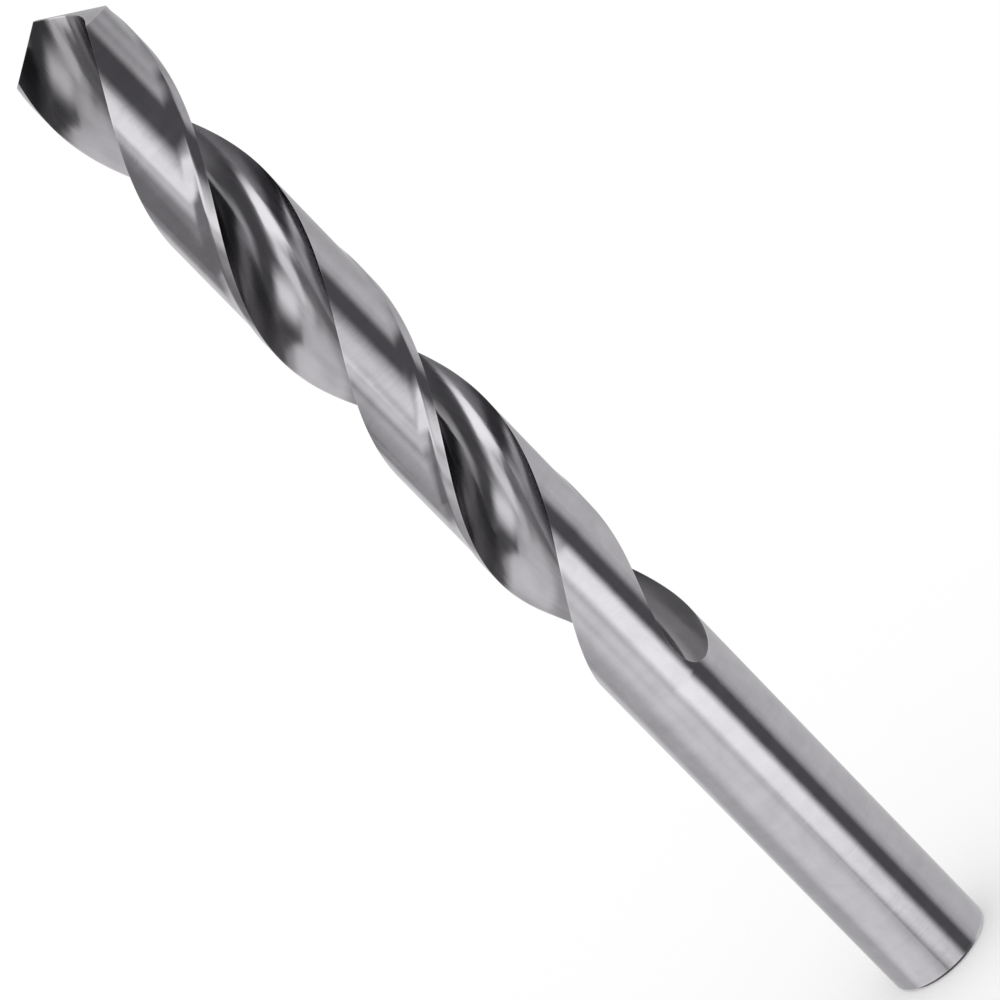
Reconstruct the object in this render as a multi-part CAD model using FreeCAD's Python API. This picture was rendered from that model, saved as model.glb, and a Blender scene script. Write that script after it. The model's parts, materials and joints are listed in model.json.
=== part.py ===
import FreeCAD, Part
import math
import os

# Twist drill bit with two right-hand helical flutes and a plain straight shank.
# Millimetres and degrees. The drill stands on its shank end: origin at the centre
# of that flat end, +Z along the axis towards the point, -Y towards the viewer.

# Bar and shank
drill_diameter = 17.5
overall_length = 191.0
shank_diameter = 17.45      # the back taper of the fluted body ends at this size
shank_chamfer = 0.65

# Flutes
flute_length = 130.0        # from the point to where the run-out closes
flute_lead = 90.5           # axial advance of one full right-hand turn
web_at_point = 2.3          # steel left between the flutes at the point
web_growth = 0.014          # how much the web thickens per millimetre towards the shank
land_angle = 86.0           # from leading edge to heel, about the axis
runout_radius = 28.0        # how the flute rises out of the bar at its shank end
flute_turn = -132.2         # where a leading edge stands at the height of the point

# Margin and the body clearance behind it
margin_width = 1.65         # across the narrow full-diameter strip
clearance_depth = 0.30      # how far the land is relieved behind the margin
foot_radius = 8.5           # rounding where the margin rises from the cleared land
foot_sink = 0.015           # how far that rounding bites into the cleared land
clearance_length = 104.0    # from the point to where the clearance fades out
clearance_fade = 160.0      # radius of that fading
seam_turn = 100.0           # where the ring ground off the lands is closed

# Point
point_angle = 118.0
chisel_angle = 125.0        # between a cutting lip and the chisel edge
lip_relief = 8.0            # clearance angle behind the lips, at the outside

# Room around the bar that the cutting shapes need, and their spacing
outside = 3.0
clear_of_bar = 0.75         # how far out the last section of a flute's run-out stands
beyond_tip = 3.0
station_turn = 26.0         # turn of the helix between two sections of a sweep
runout_stations = 8
curve_points = 6
heel_points = 4
margin_reach = 0.25         # share of the flute's opening that a margin's shape covers

radius = drill_diameter / 2
lip_slope = 1 / math.tan(math.radians(point_angle / 2))
turn_per_mm = 2 * math.pi / flute_lead
rake_turn = lip_slope * turn_per_mm
point_height = radius * lip_slope
half_turn = 180.0
rake_marks = []
heel_marks = []
axis_start = FreeCAD.Vector(0, 0, 0)
axis_up = FreeCAD.Vector(0, 0, 1)


def turned_blank():
    """Bar with its chamfered shank, and a body that widens slightly to the point."""
    shank_radius = shank_diameter / 2
    shank_length = overall_length - flute_length
    profile = Part.makePolygon([
        FreeCAD.Vector(0, 0, 0),
        FreeCAD.Vector(shank_radius - shank_chamfer, 0, 0),
        FreeCAD.Vector(shank_radius, 0, shank_chamfer),
        FreeCAD.Vector(shank_radius, 0, shank_length),
        FreeCAD.Vector(0, 0, shank_length),
        FreeCAD.Vector(0, 0, 0),
    ])
    shank = Part.Face(profile).revolve(axis_start, axis_up, 360)
    body = Part.makeCone(shank_radius, radius, flute_length, axis_up * shank_length)
    return shank.fuse(body)


def polar(distance, angle):
    return FreeCAD.Vector(distance * math.cos(angle), distance * math.sin(angle), 0)


def spaced(start, end, count):
    """Evenly spaced values from start to end, both included."""
    return [start + (end - start) * step / (count - 1) for step in range(count)]


def smooth_curve(points, marks):
    """Curve through the points. All sections of one sweep share its marks.

    The marks are the distances along the first section, so that every section
    has its points at the same places along the curve.
    """
    if not marks:
        marks.append(0.0)
        for before, point in zip(points, points[1:]):
            marks.append(marks[-1] + before.distanceToPoint(point))
    curve = Part.BSplineCurve()
    curve.interpolate(Points=points, Parameters=marks)
    return curve


def chisel_corner(half_web):
    """Where a lip meets the chisel edge, seen along the axis with the lip along X."""
    return FreeCAD.Vector(half_web / math.tan(math.radians(half_turn - chisel_angle)), half_web, 0)


def rake_point(along, half_web):
    """Section of the rake face that makes a straight cutting lip on the point."""
    turn = rake_turn * along
    x = along * math.cos(turn) - half_web * math.sin(turn)
    y = along * math.sin(turn) + half_web * math.cos(turn)
    return FreeCAD.Vector(x, y, 0)


def leading_angle(half_web):
    """Angle at which the rake face meets the outside of the bar."""
    along = math.sqrt(radius ** 2 - half_web ** 2)
    return math.atan2(half_web, along) + rake_turn * along


def flute_section(half_web):
    """Closed section of one flute: rake side, rounded bottom, heel side, outside."""
    reach = radius + outside
    lead_angle = leading_angle(half_web)
    heel_angle = lead_angle + math.pi - math.radians(land_angle)
    heel = polar(radius, heel_angle)
    rise = heel.y - half_web
    bottom_radius = (heel.x ** 2 + rise ** 2) / (2 * rise)
    heel_turn = math.atan2(-heel.x, bottom_radius - rise)
    rake = [rake_point(along, half_web) for along in spaced(reach, 0, curve_points)]
    heel_side = [
        FreeCAD.Vector(
            -bottom_radius * math.sin(turn),
            half_web + bottom_radius * (1 - math.cos(turn)),
            0,
        )
        for turn in spaced(0, heel_turn, heel_points)
    ]
    leaving = FreeCAD.Vector(-math.cos(heel_turn), math.sin(heel_turn), 0)
    last = heel + leaving * outside
    rake_wall = smooth_curve(rake, rake_marks)
    heel_wall = smooth_curve(heel_side + [last], heel_marks)
    crown = polar(reach + outside, (lead_angle + heel_angle) / 2)
    cap = Part.makePolygon([last, crown, rake[0]])
    section = Part.Wire([rake_wall.toShape(), heel_wall.toShape()] + cap.Edges)
    section.rotate(axis_start, axis_up, -math.degrees(lead_angle))
    return section, math.pi / 2 - lead_angle


def runout_lift(distance, start, rounding):
    """How far a cutter following an arc has left the bar, past the start of its exit."""
    past = max(0.0, distance - start)
    return rounding - math.sqrt(rounding ** 2 - past ** 2)


def exit_length(depth, rounding):
    """Length over which an arc of that radius climbs by the depth."""
    return math.sqrt(rounding ** 2 - (rounding - depth) ** 2)


def placed(section, distance, turn):
    """Puts a flat section at its distance from the point, turned with the helix."""
    section.rotate(axis_start, axis_up, turn - math.degrees(distance * turn_per_mm))
    section.translate(FreeCAD.Vector(0, 0, overall_length - distance))
    return section


def stations(start, exit_start, end):
    """Distances from the point: even along the helix, closer where the cut runs out."""
    pitch = math.radians(station_turn) / turn_per_mm
    count = math.ceil((exit_start - start) / pitch)
    return spaced(start, exit_start, count) + spaced(exit_start, end, runout_stations)[1:]


def flute_void():
    """One flute: its section swept along the helix, then lifted out of the bar."""
    def half_web_at(distance):
        return (web_at_point + web_growth * max(0.0, distance - point_height)) / 2

    depth = radius - half_web_at(flute_length)
    exit_start = flute_length - exit_length(depth, runout_radius)
    end = exit_start + exit_length(depth + clear_of_bar, runout_radius)
    sections = []
    for distance in stations(-beyond_tip, exit_start, end):
        section, bottom_angle = flute_section(half_web_at(distance))
        lift = runout_lift(distance, exit_start, runout_radius)
        section.translate(polar(lift, bottom_angle))
        sections.append(placed(section, distance, flute_turn))
    return Part.makeLoft(sections, True, False)


def margin_section():
    """Closed section of what the relief leaves standing: one margin and its round foot."""
    margin_turn = margin_width / radius
    body_radius = radius - clearance_depth
    reach = radius + 2 * outside
    foot_width = exit_length(clearance_depth + foot_sink, foot_radius)
    top = math.acos(1 - (2 * clearance_depth + foot_sink) / foot_radius)
    foot = [
        polar(
            body_radius - foot_sink + foot_radius * (1 - math.cos(climb)),
            (foot_radius * math.sin(climb) - foot_width) / radius - margin_turn,
        )
        for climb in spaced(0, top, curve_points)
    ]
    in_flute = math.radians(half_turn - land_angle) * margin_reach
    back = Part.makePolygon([
        foot[-1],
        polar(reach, 0),
        polar(reach, in_flute),
        polar(body_radius - outside, in_flute),
        polar(body_radius - outside, -margin_turn),
        foot[0],
    ])
    return Part.Wire([smooth_curve(foot, []).toShape()] + back.Edges)


def clearance_void():
    """Ring taken off the lands, all but the two margins that wind through it."""
    body_radius = radius - clearance_depth
    reach = radius + outside
    fade_end = overall_length - clearance_length
    fade_start = fade_end + exit_length(clearance_depth, clearance_fade)
    middle = (fade_end + fade_start) / 2
    lift = runout_lift(fade_start - middle, 0, clearance_fade)
    above = overall_length + beyond_tip
    fading = Part.Arc(
        FreeCAD.Vector(radius, 0, fade_end),
        FreeCAD.Vector(body_radius + lift, 0, middle),
        FreeCAD.Vector(body_radius, 0, fade_start),
    )
    sides = Part.makePolygon([
        FreeCAD.Vector(body_radius, 0, fade_start),
        FreeCAD.Vector(body_radius, 0, above),
        FreeCAD.Vector(reach, 0, above),
        FreeCAD.Vector(reach, 0, fade_end),
        FreeCAD.Vector(radius, 0, fade_end),
    ])
    ring = Part.Face(Part.Wire([fading.toShape()] + sides.Edges)).revolve(axis_start, axis_up, 360)
    ring.rotate(axis_start, axis_up, seam_turn)
    ends = (-2 * beyond_tip, clearance_length + 2 * beyond_tip)
    count = math.ceil((ends[1] - ends[0]) * math.degrees(turn_per_mm) / station_turn) + 1
    margin = Part.makeLoft(
        [placed(margin_section(), distance, flute_turn) for distance in spaced(*ends, count)],
        True,
        False,
    )
    other_margin = margin.copy()
    other_margin.rotate(axis_start, axis_up, half_turn)
    return ring.cut(margin).cut(other_margin)


def flank_void():
    """What is ground off above one flank, in the frame of its straight lip.

    Straight lines fan out from the line of the chisel edge to a falling curve outside
    the bar. One of them is the lip, and those behind it give the flank its relief.
    """
    half_web = web_at_point / 2
    lip_start = chisel_corner(half_web)
    chisel_turn = lip_start.getAngle(FreeCAD.Vector(1, 0, 0))
    reach = radius + outside
    lip_turn = math.asin(half_web / reach)
    lip_run = reach * math.cos(lip_turn) - lip_start.x
    fall_per_turn = radius * math.tan(math.radians(lip_relief))
    lip_share = (chisel_turn - lip_turn) / math.pi
    guide_end = lip_start / (1 - 2 * lip_share)

    def rim_point(turn):
        point = polar(reach, turn)
        point.z = -lip_run * lip_slope - fall_per_turn * (lip_turn - turn)
        return point

    turns = spaced(chisel_turn, chisel_turn - math.pi, 2 * curve_points)
    rim = smooth_curve([rim_point(turn) for turn in turns], [])
    guide = Part.LineSegment(guide_end, guide_end * -1)
    flank = Part.makeRuledSurface(guide.toShape(), rim.toShape())
    void = flank.extrude(axis_up * (radius + outside))
    lip_frame = flute_turn - math.degrees(leading_angle(half_web) - lip_start.x * rake_turn)
    void.rotate(axis_start, axis_up, lip_frame)
    void.translate(axis_up * overall_length)
    return void


def build():
    """The whole drill: bar, relieved lands, flutes and point, each cut made twice."""
    flute = flute_void()
    clearance = clearance_void()
    flank = flank_void()
    steel = turned_blank()
    for relief in clearance.Solids:
        steel = steel.cut(relief)
    for turn in (0, half_turn):
        for shape in (flute, flank):
            tool = shape.copy()
            tool.rotate(axis_start, axis_up, turn)
            steel = steel.cut(tool)
    return steel.Solids[0]


os.makedirs("parts", exist_ok=True)
drill = build()
drill.exportStep("parts/twist_drill_bit.step")
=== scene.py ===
import json
import math

import bmesh
import bpy
import numpy as np
from mathutils import Matrix, Vector
from mathutils.kdtree import KDTree

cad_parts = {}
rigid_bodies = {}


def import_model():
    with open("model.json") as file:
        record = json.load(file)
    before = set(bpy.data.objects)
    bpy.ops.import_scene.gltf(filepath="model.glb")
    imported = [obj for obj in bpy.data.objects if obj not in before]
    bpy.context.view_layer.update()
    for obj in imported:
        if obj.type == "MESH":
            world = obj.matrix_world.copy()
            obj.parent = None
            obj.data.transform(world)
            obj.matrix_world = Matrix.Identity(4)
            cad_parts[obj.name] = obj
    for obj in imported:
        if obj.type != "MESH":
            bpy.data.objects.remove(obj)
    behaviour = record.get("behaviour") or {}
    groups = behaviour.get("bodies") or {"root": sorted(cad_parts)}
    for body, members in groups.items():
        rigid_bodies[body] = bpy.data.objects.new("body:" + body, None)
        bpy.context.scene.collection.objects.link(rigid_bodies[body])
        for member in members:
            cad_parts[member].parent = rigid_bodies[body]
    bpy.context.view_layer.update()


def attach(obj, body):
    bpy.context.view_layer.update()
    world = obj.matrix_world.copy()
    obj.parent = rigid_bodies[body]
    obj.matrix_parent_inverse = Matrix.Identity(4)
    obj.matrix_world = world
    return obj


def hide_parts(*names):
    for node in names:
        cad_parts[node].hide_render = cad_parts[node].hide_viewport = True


# Twist drill bit, standing on its shank end: metres, +Z towards the point, seen from -Y
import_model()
mm = 0.001

# the drill's real sizes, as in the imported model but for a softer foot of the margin
drill = {
    "radius": 8.75 * mm,
    "length": 191.0 * mm,
    "shankRadius": 8.725 * mm,
    "shankChamfer": 0.65 * mm,
    "fluteLength": 130.0 * mm,
    "fluteLead": 90.5 * mm,
    "webAtPoint": 2.3 * mm,
    "webGrowth": 0.014,
    "landAngle": math.radians(86.0),
    "runoutRadius": 28.0 * mm,
    "fluteTurn": math.radians(-132.2),
    "marginWidth": 1.65 * mm,
    "clearanceDepth": 0.30 * mm,
    "footRadius": 8.5 * mm,
    "footSink": 0.004 * mm,
    "clearanceLength": 104.0 * mm,
    "clearanceFade": 160.0 * mm,
    "pointAngle": math.radians(118.0),
    "chiselAngle": math.radians(125.0),
    "lipRelief": math.radians(8.0),
    "rimOutside": 3.0 * mm,
}

# how finely the mesh is divided, and how its surfaces are joined
grid = {
    "margin": 4,
    "foot": 10,
    "land": 26,
    "heel": 32,
    "chisel": 4,
    "rakeInner": 4,
    "rakeOuter": 24,
    "pointRows": 26,
    "pointZone": 13.0 * mm,
    "fluteRows": 200,
    "runoutRows": 46,
    "runoutCrowding": 1.6,
    "shankRows": 20,
    "endRings": 6,
    "mergeWithin": 0.002 * mm,
    "sliverUnder": 0.001 * mm,
    "sharpFrom": math.radians(22),
}

# how edges are looked for: how often a range is halved, and how far past the edge it starts
search = {"halvings": 48, "pastRake": 1.1, "pastHeel": 1.02, "abovePoint": 1.0 * mm}

radius = drill["radius"]
lipSlope = 1 / math.tan(drill["pointAngle"] / 2)
turnPerMetre = 2 * math.pi / drill["fluteLead"]
rakeTurn = lipSlope * turnPerMetre
pointHeight = radius * lipSlope
bodyRadius = radius - drill["clearanceDepth"]


def exitLength(depth, rounding):
    return math.sqrt(rounding ** 2 - (rounding - depth) ** 2)


def halfWebAt(distance):
    grown = drill["webGrowth"] * np.maximum(0.0, distance - pointHeight)
    return (drill["webAtPoint"] + grown) / 2


runoutStart = drill["fluteLength"] - exitLength(
    radius - halfWebAt(drill["fluteLength"]), drill["runoutRadius"])


def runoutLift(distance):
    past = np.maximum(0.0, distance - runoutStart)
    return drill["runoutRadius"] - np.sqrt(drill["runoutRadius"] ** 2 - past ** 2)


def barRadius(distance):
    # the fluted body tapers back to the shank
    share = np.clip(distance / drill["fluteLength"], 0, 1)
    return radius + (drill["shankRadius"] - radius) * share


def landRadius(distance):
    # the relieved land, and the long arc on which the relief fades out
    fade = drill["clearanceFade"]
    fadeEnd = drill["clearanceLength"]
    past = np.clip(distance - (fadeEnd - exitLength(drill["clearanceDepth"], fade)), 0, None)
    risen = bodyRadius + fade - np.sqrt(fade ** 2 - np.minimum(past, fade / 2) ** 2)
    return np.minimum(barRadius(distance), risen)


def turned(x, y, angle):
    return x * np.cos(angle) - y * np.sin(angle), x * np.sin(angle) + y * np.cos(angle)


def leadingAngle(halfWeb):
    along = np.sqrt(radius ** 2 - halfWeb ** 2)
    return np.arctan2(halfWeb, along) + rakeTurn * along


def solved(rises, low, high):
    # bisection on whole arrays: rises() is below zero under the answer
    for _ in range(search["halvings"]):
        middle = (low + high) / 2
        below = rises(middle) < 0
        low = np.where(below, middle, low)
        high = np.where(below, high, middle)
    return (low + high) / 2


def rakeSection(along, distance):
    # the rake side of a flute, which makes a straight lip on the point
    halfWeb = halfWebAt(distance)
    x, y = turned(along, halfWeb, rakeTurn * along)
    return x, y + runoutLift(distance)


def heelArc(distance):
    halfWeb = halfWebAt(distance)
    heelAngle = leadingAngle(halfWeb) + math.pi - drill["landAngle"]
    heelX = radius * np.cos(heelAngle)
    rise = radius * np.sin(heelAngle) - halfWeb
    bottomRadius = (heelX ** 2 + rise ** 2) / (2 * rise)
    return bottomRadius, np.arctan2(-heelX, bottomRadius - rise)


def heelSection(turn, distance):
    # the rounded bottom and heel side of a flute
    bottomRadius, _ = heelArc(distance)
    y = halfWebAt(distance) + bottomRadius * (1 - np.cos(turn)) + runoutLift(distance)
    return -bottomRadius * np.sin(turn), y


def inRow(x, y, distance):
    # from a flute's own section to the drill's place in the frame
    helix = drill["fluteTurn"] - leadingAngle(halfWebAt(distance)) - distance * turnPerMetre
    return turned(x, y, helix)


def leadingCorner(distance):
    # how far along the rake side the bar's outside is
    def rises(along):
        return np.hypot(*rakeSection(along, distance)) - barRadius(distance)
    furthest = np.full_like(distance, radius * search["pastRake"])
    return solved(rises, np.zeros_like(distance), furthest)


def heelCorner(distance):
    _, heelTurn = heelArc(distance)

    def rises(turn):
        return np.hypot(*heelSection(turn, distance)) - landRadius(distance)
    return solved(rises, np.zeros_like(distance), heelTurn * search["pastHeel"])


def landEdges(distance):
    # the angle of a land's leading corner, and how far behind it the land's heel is
    leadX, leadY = inRow(*rakeSection(leadingCorner(distance), distance), distance)
    heelX, heelY = inRow(*heelSection(heelCorner(distance), distance), distance)
    leading = np.arctan2(leadY, leadX)
    return leading, np.mod(leading - np.arctan2(heelY, heelX) - math.pi, 2 * math.pi)


def lineOnLand(share, part, distance):
    # a line that runs the length of a land: its place across the margin, the foot or the land
    leading, span = landEdges(distance)
    marginTurn = drill["marginWidth"] / radius
    sink = drill["footSink"]
    foot = drill["footRadius"]

    def climbAt(height):
        return np.arccos(1 - np.clip(height - bodyRadius + sink, 0, foot) / foot)

    topClimb = climbAt(barRadius(distance))
    lowClimb = climbAt(landRadius(distance))

    def behind(climb):
        return marginTurn + foot * (np.sin(topClimb) - np.sin(climb)) / radius

    if part == "margin":
        angle = leading - marginTurn * share
        height = barRadius(distance)
    elif part == "foot":
        climb = topClimb + (lowClimb - topClimb) * share
        angle = leading - behind(climb)
        height = bodyRadius - sink + foot * (1 - np.cos(climb))
    else:
        start = behind(lowClimb)
        angle = leading - start - (span - start) * share
        height = landRadius(distance)
    return height * np.cos(angle), height * np.sin(angle)


halfPointWeb = drill["webAtPoint"] / 2
chiselX = halfPointWeb / math.tan(math.pi - drill["chiselAngle"])
chiselTurn = math.atan2(halfPointWeb, chiselX)
lipFrame = drill["fluteTurn"] - (leadingAngle(halfPointWeb) - chiselX * rakeTurn)


def flankHeight(x, y):
    # the two ground flanks: straight lines fan out from the chisel line to a falling rim
    x, y = turned(x, y, -lipFrame)
    side = np.where(math.cos(chiselTurn) * y - math.sin(chiselTurn) * x > 0, -1.0, 1.0)
    x, y = x * side, y * side
    reach = radius + drill["rimOutside"]
    lipTurn = math.asin(halfPointWeb / reach)
    lipRun = reach * math.cos(lipTurn) - chiselX
    fallPerTurn = radius * math.tan(drill["lipRelief"])
    guideEnd = math.hypot(chiselX, halfPointWeb) / (1 - 2 * (chiselTurn - lipTurn) / math.pi)

    def fan(share):
        turn = chiselTurn - math.pi * share
        along = guideEnd * (1 - 2 * share)
        startX, startY = along * math.cos(chiselTurn), along * math.sin(chiselTurn)
        return startX, startY, reach * np.cos(turn) - startX, reach * np.sin(turn) - startY, turn

    def rises(share):
        startX, startY, runX, runY, _ = fan(share)
        return runX * (y - startY) - runY * (x - startX)

    share = solved(rises, np.zeros_like(x), np.ones_like(x))
    startX, startY, runX, runY, turn = fan(share)
    rimDrop = -lipRun * lipSlope - fallPerTurn * (lipTurn - turn)
    return rimDrop * np.hypot(x - startX, y - startY) / np.hypot(runX, runY)


def columnPlace(part, share, distance):
    # a line of the mesh, which runs from the point to the shank across a share of its surface
    if part == "rake":
        along = leadingCorner(distance) * share
        return inRow(*rakeSection(along, distance), distance)
    if part == "heel":
        return inRow(*heelSection(heelCorner(distance) * share, distance), distance)
    return lineOnLand(share, part, distance)


def evenly(count, start=0.0, end=1.0):
    return np.linspace(start, end, count + 1)


def buildColumns():
    # one half of the drill's outline, from the margin's corner round to the flute's rake corner
    cornerAtPoint = float(leadingCorner(np.array([0.0]))[0])
    chiselShare = chiselX / cornerAtPoint
    rakeShares = np.concatenate([
        evenly(grid["rakeInner"], 0.0, chiselShare),
        evenly(grid["rakeOuter"], chiselShare, 1.0)[1:],
    ])
    return {
        "margin": evenly(grid["margin"]),
        "foot": evenly(grid["foot"]),
        "land": evenly(grid["land"]),
        "heel": evenly(grid["heel"]),
        "rake": rakeShares,
    }


def stripRows(part, shares):
    # distances from the point for each line of a strip: from the ground flank down to the shank
    shares = shares[None, :]

    def rises(distance):
        x, y = columnPlace(part, shares, distance)
        return distance + flankHeight(x, y)

    low = np.full(shares.shape, -search["abovePoint"])
    top = solved(rises, low, np.full(shares.shape, grid["pointZone"]))
    pointRows = top + (grid["pointZone"] - top) * evenly(grid["pointRows"])[:, None]
    fluteRows = evenly(grid["fluteRows"], grid["pointZone"], runoutStart)[1:]
    # rows get closer where the flute closes
    crowded = 1 - (1 - evenly(grid["runoutRows"])) ** grid["runoutCrowding"]
    runoutRows = runoutStart + (drill["fluteLength"] - runoutStart) * crowded[1:]
    rest = np.concatenate([fluteRows, runoutRows])[:, None] + np.zeros(shares.shape)
    return np.concatenate([pointRows, rest])


def stripPlaces(part, shares):
    distance = stripRows(part, shares)
    x, y = columnPlace(part, shares[None, :] + np.zeros(distance.shape), distance)
    return np.stack([x, y, drill["length"] - distance], axis=-1)


def gridFaces(rows, columns, first, flip):
    index = first + np.arange(rows * columns).reshape(rows, columns)
    corners = [index[:-1, :-1], index[:-1, 1:], index[1:, 1:], index[1:, :-1]]
    if flip:
        corners = corners[::-1]
    return np.stack(corners, axis=-1).reshape(-1, 4)


def halfTurned(places):
    return places * np.array([-1.0, -1.0, 1.0])


def flankPlaces(strips):
    # a flank, spread between the chisel edge with the next flute's wall and the land's outside
    outer = np.concatenate([strips["margin"][0], strips["foot"][0][1:], strips["land"][0][1:]])
    chiselEnd = halfTurned(strips["rake"][0])[grid["rakeInner"]]
    chiselLine = -chiselEnd * np.array([1.0, 1.0, -1.0])
    across = evenly(grid["chisel"])[:, None]
    chisel = chiselLine + (chiselEnd - chiselLine) * across
    inward = halfTurned(strips["rake"][0])[grid["rakeInner"]::-1]
    heel = halfTurned(strips["heel"][0])
    inner = np.concatenate([chisel, inward[1:], heel[1:]])
    share = evenly(grid["rakeOuter"])[:, None, None]
    places = inner[None] + (outer - inner)[None] * share
    places[1:-1, :, 2] = drill["length"] + flankHeight(places[1:-1, :, 0], places[1:-1, :, 1])
    return places


def shankPlaces(strips):
    # the plain bar below the flutes, its chamfer and the flat end
    around = np.concatenate([strips["margin"][-1], strips["foot"][-1][1:], strips["land"][-1][1:]])
    top = drill["length"] - drill["fluteLength"]
    chamfer = drill["shankChamfer"]
    flat = around * np.array([1.0, 1.0, 0.0])
    rows = [flat + np.array([0, 0, height]) for height in evenly(grid["shankRows"], top, chamfer)]
    endRadius = drill["shankRadius"] - chamfer
    for share in evenly(grid["endRings"]):
        rows.append(flat * (endRadius / drill["shankRadius"]) * (1 - share))
    return np.stack(rows)


def markEdges(mesh):
    # each point's distance to the nearest sharp edge, which the edge wear and painted edge
    # highlight read
    sharp = mesh.attributes["sharp_edge"].data
    onEdges = {index for edge in mesh.edges if sharp[edge.index].value for index in edge.vertices}
    tree = KDTree(len(onEdges))
    for index in onEdges:
        tree.insert(mesh.vertices[index].co, index)
    tree.balance()
    distances = [tree.find(point.co)[2] for point in mesh.vertices]
    mesh.attributes.new("edgeDistance", "FLOAT", "POINT").data.foreach_set("value", distances)


def buildDrillMesh():
    columns = buildColumns()
    strips = {part: stripPlaces(part, shares) for part, shares in columns.items()}
    # each surface with the finish that it takes: land, a flute's heel side or rake side, or point
    pieces = [(strips["margin"], False, 0), (strips["foot"], False, 0), (strips["land"], False, 0),
              (strips["heel"], False, 1), (strips["rake"], True, 2),
              (flankPlaces(strips), True, 3), (shankPlaces(strips), False, 0)]
    vertices, faces, finishes, count = [], [], [], 0
    for places, flip, finish in pieces:
        for turn in (1, -1):
            vertices.append((places * np.array([turn, turn, 1.0])).reshape(-1, 3))
            faces.append(gridFaces(places.shape[0], places.shape[1], count, flip))
            finishes.append(np.full(len(faces[-1]), finish))
            count += len(vertices[-1])
    mesh = bpy.data.meshes.new("drillBody")
    mesh.from_pydata(np.concatenate(vertices).tolist(), [], np.concatenate(faces).tolist())
    mesh.polygons.foreach_set("material_index", np.concatenate(finishes).astype(np.int32))
    shaped = bmesh.new()
    shaped.from_mesh(mesh)
    bmesh.ops.remove_doubles(shaped, verts=shaped.verts, dist=grid["mergeWithin"])
    bmesh.ops.dissolve_degenerate(shaped, edges=shaped.edges, dist=grid["sliverUnder"])
    bmesh.ops.recalc_face_normals(shaped, faces=shaped.faces)
    shaped.to_mesh(mesh)
    shaped.free()
    mesh.shade_smooth()
    mesh.set_sharp_from_angle(angle=grid["sharpFrom"])
    markEdges(mesh)
    return mesh


drillBody = bpy.data.objects.new("drillBody", buildDrillMesh())
bpy.context.scene.collection.objects.link(drillBody)
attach(drillBody, "root")
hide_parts("twist_drill_bit")
print("drill body:", len(drillBody.data.polygons), "faces")

# camera: fitted to the photograph's helix edges and both ends
view = {
    "above": math.radians(10.25),
    "distance": 38.9 * radius,
    "lens": 84.42,
    "sensor": 36,
    "nearest": 0.01,
    "aimBelowPoint": 10.7 * radius,
    "aside": 0.032 * radius,
    "axisOnImage": (0.698, 0.716),
}


def buildCamera():
    toCamera = Vector((0, -math.cos(view["above"]), math.sin(view["above"])))
    downAxis = Vector((0, -math.sin(view["above"]), -math.cos(view["above"])))
    sideways = Vector((1, 0, 0))
    # the drill's axis runs slantwise over the image, from the upper left to the lower right
    alongX, alongY = Vector(view["axisOnImage"]).normalized()
    rightAxis = downAxis * alongX + sideways * alongY
    upAxis = sideways * alongX - downAxis * alongY
    aim = Vector((0, 0, drill["length"] - view["aimBelowPoint"]))
    stand = aim + toCamera * view["distance"] - sideways * view["aside"]
    cameraData = bpy.data.cameras.new("photoCamera")
    cameraData.lens = view["lens"]
    cameraData.sensor_width = view["sensor"]
    cameraData.clip_start = view["nearest"]
    camera = bpy.data.objects.new("photoCamera", cameraData)
    bpy.context.scene.collection.objects.link(camera)
    facing = Matrix((rightAxis, upAxis, toCamera)).transposed()
    camera.matrix_world = Matrix.Translation(stand) @ facing.to_4x4()
    return camera


bpy.context.scene.camera = buildCamera()
bpy.context.scene.view_settings.view_transform = "Standard"
print("camera set")


def nodeTool(tree):
    # makes a node, sets its plain values and links the rest
    def make(kind, values=None, **settings):
        node = tree.nodes.new(kind)
        for name, value in settings.items():
            setattr(node, name, value)
        for key, value in (values or {}).items():
            if isinstance(value, bpy.types.NodeSocket):
                tree.links.new(value, node.inputs[key])
            else:
                node.inputs[key].default_value = value
        return node
    return make


def mathTool(make):
    # short way to write one sum on sockets or numbers
    def work(operation, *values):
        return make("ShaderNodeMath", dict(enumerate(values)), operation=operation).outputs[0]
    return work


def placeGroup(make, group, values, label=""):
    # a group node with its values set or linked
    return make("ShaderNodeGroup", values, node_tree=group, label=label).outputs


def newGroup(name, inputs, outputs):
    group = bpy.data.node_groups.new(name, "ShaderNodeTree")
    for socketName, kind, value in inputs:
        socket = group.interface.new_socket(socketName, in_out="INPUT", socket_type=kind)
        if value is not None:
            socket.default_value = value
    for socketName, kind in outputs:
        group.interface.new_socket(socketName, in_out="OUTPUT", socket_type=kind)
    make = nodeTool(group)
    entry, leave = make("NodeGroupInput"), make("NodeGroupOutput")
    return group, make, mathTool(make), entry.outputs, leave


def linked(group, leave, name, socket):
    group.links.new(socket, leave.inputs[name])


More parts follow.
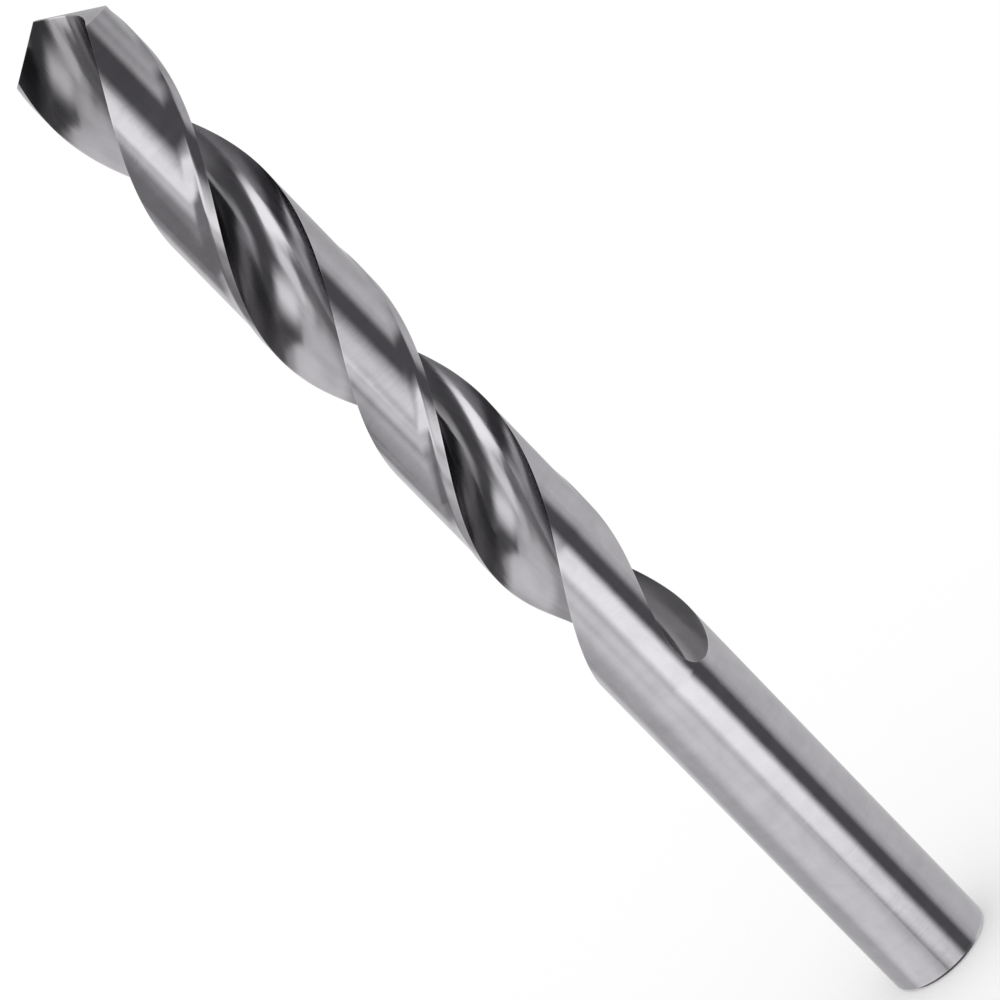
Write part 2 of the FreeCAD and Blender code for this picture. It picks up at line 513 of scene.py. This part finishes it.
# soft cards of the photographer's tent, each laid over those above it: its place is a direction
# from the drill, in degrees to the right of the viewer and up, and its size is in degrees too
studio = {
    "walls": 0.55,
    "cardInputs": ("Centre Azimuth", "Centre Elevation", "Half Width", "Half Height", "Lean",
                   "Softness", "Brightness"),
    "cards": {
        "lowTable": (-51, -50, 46, 17, -8, 20, 1.0),
        "leftWall": (-56, -23, 32, 17, 30, 20, 0.85),
        "leftMiddle": (-97, 12, 99, 16, 18, 9, 0.75),
        "leftPoint": (-94, 3, 41, 9, 12, 20, 0.27),
        "upperLeft": (-73, 15, 41, 15, 11, 5, 0.22),
        "lowGap": (5, -41, 28, 10, -24, 6, 0.11),
        "highGap": (-57, 0, 14, 4, -52, 20, 0.29),
        "underneath": (168, -62, 36, 24, 0, 14, 0.1),
        "rightWall": (128, -25, 50, 15, -15, 11, 0.64),
        "upperRight": (46, 41, 54, 20, -15, 20, 0.05),
        "sideFlag": (38, -6, 26, 38, -14, 20, 0.1),
        "keyLow": (5, -17, 21, 11, -2, 20, 1.26),
        "keyMiddle": (-14, 9, 20, 10, 20, 9, 1.15),
        "keyHigh": (-24, 34, 37, 10, -6, 7, 1.75),
        "ceiling": (83, 49, 62, 22, -24, 20, 0.3),
        "ceilingDark": (-4, 63, 84, 15, -2, 20, 0.15),
    },
    "tint": (0, -0.0025, 0.004),
    "size": 3.0,
    "divisions": 5,
}


def buildCardGroup():
    group, make, work, entry, leave = newGroup("softCard", [
        ("Azimuth", "NodeSocketFloat", 0), ("Elevation", "NodeSocketFloat", 0),
        ("Behind", "NodeSocketFloat", 0), ("Centre Azimuth", "NodeSocketFloat", 0),
        ("Centre Elevation", "NodeSocketFloat", 0), ("Half Width", "NodeSocketFloat", 10),
        ("Half Height", "NodeSocketFloat", 10), ("Lean", "NodeSocketFloat", 0),
        ("Softness", "NodeSocketFloat", 10), ("Brightness", "NodeSocketFloat", 1),
    ], [("Brightness", "NodeSocketFloat")])
    away = work("WRAP", work("SUBTRACT", entry["Azimuth"], entry["Centre Azimuth"]), 180, -180)
    up = work("SUBTRACT", entry["Elevation"], entry["Centre Elevation"])
    lean = work("RADIANS", entry["Lean"])
    cosine, sine = work("COSINE", lean), work("SINE", lean)
    sideways = work("ADD", work("MULTIPLY", away, cosine), work("MULTIPLY", up, sine))
    upwards = work("SUBTRACT", work("MULTIPLY", up, cosine), work("MULTIPLY", away, sine))
    softHalf = work("MULTIPLY", entry["Softness"], 0.5)
    mask = 1.0
    for offset, half in ((sideways, "Half Width"), (upwards, "Half Height")):
        edge = make("ShaderNodeMapRange", {
            "Value": work("ABSOLUTE", offset),
            "From Min": work("ADD", entry[half], softHalf),
            "From Max": work("SUBTRACT", entry[half], softHalf),
        }, interpolation_type="SMOOTHSTEP").outputs["Result"]
        mask = work("MULTIPLY", mask, edge)
    change = work("MULTIPLY", work("SUBTRACT", entry["Brightness"], entry["Behind"]), mask)
    linked(group, leave, "Brightness", work("ADD", entry["Behind"], change))
    return group


def buildTentMaterial():
    # what the bright steel mirrors: a pale tent with brighter cards and dark flags
    material = bpy.data.materials.new("tentCards")
    material.use_nodes = True
    tree = material.node_tree
    tree.nodes.clear()
    make = nodeTool(tree)
    work = mathTool(make)
    direction = make("ShaderNodeVectorMath", {0: make("ShaderNodeTexCoord").outputs["Object"]},
                     operation="NORMALIZE").outputs[0]
    parts = make("ShaderNodeSeparateXYZ", {0: direction}).outputs
    azimuth = work("DEGREES", work("ARCTAN2", parts["X"], work("MULTIPLY", parts["Y"], -1.0)))
    elevation = work("DEGREES", work("ARCSINE", parts["Z"]))
    cardGroup = buildCardGroup()
    tone = studio["walls"]
    for name, values in studio["cards"].items():
        card = placeGroup(make, cardGroup, {
            "Azimuth": azimuth, "Elevation": elevation, "Behind": tone,
            **dict(zip(studio["cardInputs"], values))}, label=name)
        tone = card["Brightness"]
    tinted = make("ShaderNodeVectorMath", {0: tone, 1: studio["tint"]}, operation="ADD").outputs[0]
    glow = make("ShaderNodeEmission", {"Color": tinted, "Strength": 1.0})
    make("ShaderNodeOutputMaterial", {"Surface": glow.outputs[0]})
    return material


def buildTent():
    mesh = bpy.data.meshes.new("tent")
    shaped = bmesh.new()
    bmesh.ops.create_icosphere(shaped, subdivisions=studio["divisions"], radius=studio["size"])
    shaped.to_mesh(mesh)
    shaped.free()
    tent = bpy.data.objects.new("tent", mesh)
    bpy.context.scene.collection.objects.link(tent)
    tent.location = (0, 0, drill["length"] / 2)
    mesh.materials.append(buildTentMaterial())
    mesh.materials[0].cycles.emission_sampling = "NONE"
    # only reflections see the cards: the camera and the floor see the plain white world
    tent.visible_camera = False
    tent.visible_diffuse = False
    tent.visible_shadow = False
    tent.visible_transmission = False


def buildWorld():
    world = bpy.data.worlds.new("whiteRoom")
    world.use_nodes = True
    background = world.node_tree.nodes["Background"]
    background.inputs["Color"].default_value = (1, 1, 1, 1)
    background.inputs["Strength"].default_value = 1.0
    return world


buildTent()
bpy.context.scene.world = buildWorld()
print("studio set")

floorValues = {"half": 6.0, "colour": (0.93, 0.93, 0.93, 1), "lift": 0.075}


def buildPaper():
    material = bpy.data.materials.new("whitePaper")
    material.use_nodes = True
    tree = material.node_tree
    make = nodeTool(tree)
    paper = tree.nodes["Principled BSDF"]
    paper.inputs["Base Color"].default_value = floorValues["colour"]
    paper.inputs["Roughness"].default_value = 1.0
    paper.inputs["Specular IOR Level"].default_value = 0.0
    paper.inputs["Emission Color"].default_value = (1, 1, 1, 1)
    # the camera alone sees the floor lifted to the white of the background
    cameraOnly = make("ShaderNodeLightPath").outputs["Is Camera Ray"]
    lift = mathTool(make)("MULTIPLY", cameraOnly, floorValues["lift"])
    tree.links.new(lift, paper.inputs["Emission Strength"])
    return material


def buildFloor():
    half = floorValues["half"]
    corners = [(-half, -half, 0), (half, -half, 0), (half, half, 0), (-half, half, 0)]
    mesh = bpy.data.meshes.new("floor")
    mesh.from_pydata(corners, [], [(0, 1, 2, 3)])
    mesh.materials.append(buildPaper())
    floor = bpy.data.objects.new("floor", mesh)
    bpy.context.scene.collection.objects.link(floor)
    # the steel mirrors the tent's own low card in its place
    floor.visible_glossy = False


buildFloor()
print("floor laid")

# how the effects read a noise texture, whose values lie round its middle
noise = {
    "middle": 0.5,
    "cloudSpan": (0.3, 0.7),
    "patchSpan": (0.35, 0.6),
    "leastPatch": 0.35,
    "roughSpan": (0.35, 0.65),
    "streakGain": 4.0,
}


def buildGrindingGroup():
    # lines drawn out along the way that the wheel went, turning with the flutes where they do
    group, make, work, entry, leave = newGroup("grindingLines", [
        ("Turn Per Metre", "NodeSocketFloat", 0),
        ("Lines Per Metre", "NodeSocketVector", (1000, 1000, 1000)),
        ("Streak Share", "NodeSocketFloat", 0.2),
    ], [("Lines", "NodeSocketFloat"), ("Streaks", "NodeSocketFloat")])
    place = make("ShaderNodeTexCoord").outputs["Object"]
    height = make("ShaderNodeSeparateXYZ", {0: place}).outputs["Z"]
    untwist = work("MULTIPLY", work("MULTIPLY", height, entry["Turn Per Metre"]), -1.0)
    straight = make("ShaderNodeVectorRotate", {"Vector": place, "Angle": untwist},
                    rotation_type="Z_AXIS").outputs[0]
    drawnOut = make("ShaderNodeVectorMath", {0: straight, 1: entry["Lines Per Metre"]},
                    operation="MULTIPLY").outputs[0]
    lines = make("ShaderNodeTexNoise", {"Vector": drawnOut, "Scale": 1.0, "Detail": 3.0,
                                        "Roughness": 0.6}).outputs[0]
    streaks = make("ShaderNodeTexNoise", {"Vector": drawnOut, "Scale": entry["Streak Share"],
                                          "Detail": 2.0, "Roughness": 0.5}).outputs[0]
    linked(group, leave, "Lines", lines)
    linked(group, leave, "Streaks", streaks)
    return group


def buildCloudGroup():
    # slow changes of tone, as oil and handling leave on bright steel
    group, make, work, entry, leave = newGroup("steelClouds", [
        ("Scale", "NodeSocketFloat", 150), ("Low", "NodeSocketFloat", 0.9),
        ("High", "NodeSocketFloat", 1.1), ("Streaks", "NodeSocketFloat", 0.5),
        ("Streak Tone", "NodeSocketFloat", 0.05),
    ], [("Tone", "NodeSocketFloat"), ("Cloud", "NodeSocketFloat")])
    place = make("ShaderNodeTexCoord").outputs["Object"]
    cloud = make("ShaderNodeTexNoise", {"Vector": place, "Scale": entry["Scale"], "Detail": 3.0,
                                        "Roughness": 0.55, "Distortion": 0.4}).outputs[0]
    least, most = noise["cloudSpan"]
    spread = make("ShaderNodeMapRange", {
        "Value": cloud, "From Min": least, "From Max": most,
        "To Min": entry["Low"], "To Max": entry["High"]}).outputs[0]
    offMiddle = work("SUBTRACT", entry["Streaks"], noise["middle"])
    streakChange = work("MULTIPLY", offMiddle, entry["Streak Tone"])
    streaked = work("ADD", spread, work("MULTIPLY", streakChange, noise["streakGain"]))
    linked(group, leave, "Tone", streaked)
    linked(group, leave, "Cloud", cloud)
    return group


def buildEdgeWearAndHighlightGroup():
    # how far an edge is rubbed bright, wear with a painted highlight, from the mesh's own distance
    # to its sharp edges
    group, make, work, entry, leave = newGroup("edgeWearAndHighlight", [
        ("Width", "NodeSocketFloat", 0.0003), ("Amount", "NodeSocketFloat", 0.5),
        ("Patchiness", "NodeSocketFloat", 400),
    ], [("Wear And Highlight", "NodeSocketFloat")])
    distance = make("ShaderNodeAttribute", attribute_name="edgeDistance").outputs["Fac"]
    near = make("ShaderNodeMapRange", {
        "Value": distance, "From Min": entry["Width"], "From Max": 0.0,
    }, interpolation_type="SMOOTHSTEP").outputs["Result"]
    patches = make("ShaderNodeTexNoise", {"Vector": make("ShaderNodeTexCoord").outputs["Object"],
                                          "Scale": entry["Patchiness"], "Detail": 2.0}).outputs[0]
    least, most = noise["patchSpan"]
    patchMask = make("ShaderNodeMapRange", {
        "Value": patches, "From Min": least, "From Max": most,
        "To Min": noise["leastPatch"], "To Max": 1.0}).outputs[0]
    wearAndHighlight = work("MULTIPLY", work("MULTIPLY", near, patchMask), entry["Amount"])
    linked(group, leave, "Wear And Highlight", wearAndHighlight)
    return group


def buildPaintedTipShadeGroup():
    # painted shade: the steel is made darker toward the point
    group, make, work, entry, leave = newGroup("paintedTipShade", [
        ("Clean Height", "NodeSocketFloat", 0.168), ("Dull Height", "NodeSocketFloat", 0.184),
        ("Shade", "NodeSocketFloat", 0.8),
    ], [("Tone", "NodeSocketFloat")])
    place = make("ShaderNodeTexCoord").outputs["Object"]
    height = make("ShaderNodeSeparateXYZ", {0: place}).outputs["Z"]
    tone = make("ShaderNodeMapRange", {
        "Value": height, "From Min": entry["Clean Height"], "From Max": entry["Dull Height"],
        "To Min": 1.0, "To Max": entry["Shade"]}, interpolation_type="SMOOTHSTEP").outputs["Result"]
    linked(group, leave, "Tone", tone)
    return group


# how the drill is ground: shank and lands round it, both sides of a flute along the helix, and the
# point straight across
fluteFinishAndShade = {
    # the flutes' colour is darker than the lands': painted shade in the flutes' hollows
    "colour": (0.485, 0.473, 0.492), "paintedTipShade": 0.66, "turnPerMetre": turnPerMetre,
    "linesPerMetre": (3600, 3600, 240), "streakShare": 0.3, "streakTone": 0.05,
    "cloudScale": 130, "cloudTone": 0.07, "roughness": 0.16, "roughnessSpread": 0.045,
    "lineDepth": 0.003 * mm, "streakDepth": 0.012 * mm, "waveDepth": 0.01 * mm,
    "wearAndHighlightWidth": 0.3 * mm, "wearAndHighlight": 0.45,
}
steelFinishes = {
    "groundLands": {
        "colour": (0.612, 0.598, 0.622), "seenInSteel": 0.4, "paintedTipShade": 0.9, "turnPerMetre": 0.0,
        "linesPerMetre": (420, 420, 5600), "streakShare": 0.16, "streakTone": 0.03,
        "cloudScale": 260, "cloudTone": 0.06, "roughness": 0.085, "roughnessSpread": 0.035,
        "lineDepth": 0.0022 * mm, "streakDepth": 0.004 * mm, "waveDepth": 0.012 * mm,
        "wearAndHighlightWidth": 0.32 * mm, "wearAndHighlight": 0.55,
    },
    "groundHeelSides": {**fluteFinishAndShade, "seenInSteel": 0.35},
    "groundRakeSides": {**fluteFinishAndShade, "seenInSteel": 1.0},
    "groundPoint": {
        "colour": (0.60, 0.588, 0.608), "seenInSteel": 0.4, "paintedTipShade": 1.0, "turnPerMetre": 0.0,
        "linesPerMetre": (5200, 520, 5200), "streakShare": 0.22, "streakTone": 0.06,
        "cloudScale": 210, "cloudTone": 0.05, "roughness": 0.22, "roughnessSpread": 0.05,
        "lineDepth": 0.005 * mm, "streakDepth": 0.008 * mm, "waveDepth": 0.004 * mm,
        "wearAndHighlightWidth": 0.3 * mm, "wearAndHighlight": 0.6,
    },
}
# brighter, smoother steel on the edges: partly rubbed wear, partly a painted highlight
wornAndHighlitSteel = {"colour": (0.80, 0.79, 0.80, 1), "roughness": 0.2}
# heights between which the painted shade toward the point comes in
tipShadeHeights = {"unshadedHeight": 168 * mm, "shadedHeight": 184 * mm}
steelGroups = {"lines": buildGrindingGroup(), "clouds": buildCloudGroup(),
               "wearAndHighlight": buildEdgeWearAndHighlightGroup(), "paintedShade": buildPaintedTipShadeGroup()}


def steelMaterial(name, values):
    material = bpy.data.materials.new(name)
    material.use_nodes = True
    tree = material.node_tree
    make = nodeTool(tree)
    work = mathTool(make)
    steel = tree.nodes["Principled BSDF"]
    steel.inputs["Metallic"].default_value = 1
    ground = placeGroup(make, steelGroups["lines"], {
        "Turn Per Metre": values["turnPerMetre"], "Lines Per Metre": values["linesPerMetre"],
        "Streak Share": values["streakShare"]})
    clouds = placeGroup(make, steelGroups["clouds"], {
        "Scale": values["cloudScale"], "Low": 1 - values["cloudTone"],
        "High": 1 + values["cloudTone"], "Streaks": ground["Streaks"],
        "Streak Tone": values["streakTone"]})
    # edge wear and a painted highlight along the sharp edges
    wearAndHighlight = placeGroup(make, steelGroups["wearAndHighlight"], {
        "Width": values["wearAndHighlightWidth"], "Amount": values["wearAndHighlight"]})["Wear And Highlight"]
    # painted shade: steel seen in steel is held back darker, or the flutes' walls light each other
    # up
    inSteel = make("ShaderNodeLightPath").outputs["Is Glossy Ray"]
    held = work("MULTIPLY_ADD", inSteel, values["seenInSteel"] - 1, 1.0)
    # painted shade, darker toward the point
    paintedShade = placeGroup(make, steelGroups["paintedShade"], {
        "Clean Height": tipShadeHeights["unshadedHeight"], "Dull Height": tipShadeHeights["shadedHeight"],
        "Shade": values["paintedTipShade"]})["Tone"]
    tone = work("MULTIPLY", work("MULTIPLY", clouds["Tone"], paintedShade), held)
    toned = make("ShaderNodeVectorMath", {0: values["colour"], "Scale": tone},
                 operation="SCALE").outputs[0]
    colour = make("ShaderNodeMix", {"Factor": wearAndHighlight, "A": toned, "B": wornAndHighlitSteel["colour"]},
                  data_type="RGBA")
    tree.links.new(colour.outputs["Result"], steel.inputs["Base Color"])
    # half of the roughness follows the streaks and half the clouds
    mixed = work("ADD", work("MULTIPLY", ground["Streaks"], 0.5),
                 work("MULTIPLY", clouds["Cloud"], 0.5))
    least, most = noise["roughSpan"]
    rough = make("ShaderNodeMapRange", {
        "Value": mixed, "From Min": least, "From Max": most,
        "To Min": values["roughness"] - values["roughnessSpread"],
        "To Max": values["roughness"] + values["roughnessSpread"]}).outputs[0]
    rubbed = work("MULTIPLY_ADD", wearAndHighlight, work("SUBTRACT", wornAndHighlitSteel["roughness"], rough), rough)
    tree.links.new(rubbed, steel.inputs["Roughness"])
    # the bump's height is in metres: fine lines on broader streaks and slow waves
    height = work("MULTIPLY_ADD", ground["Lines"], values["lineDepth"],
                  work("MULTIPLY", ground["Streaks"], values["streakDepth"]))
    height = work("MULTIPLY_ADD", clouds["Cloud"], values["waveDepth"], height)
    bump = make("ShaderNodeBump", {"Height": height, "Strength": 1.0, "Distance": 1.0})
    tree.links.new(bump.outputs[0], steel.inputs["Normal"])
    return material


for finishName, finishValues in steelFinishes.items():
    drillBody.data.materials.append(steelMaterial(finishName, finishValues))
print("steel finished")
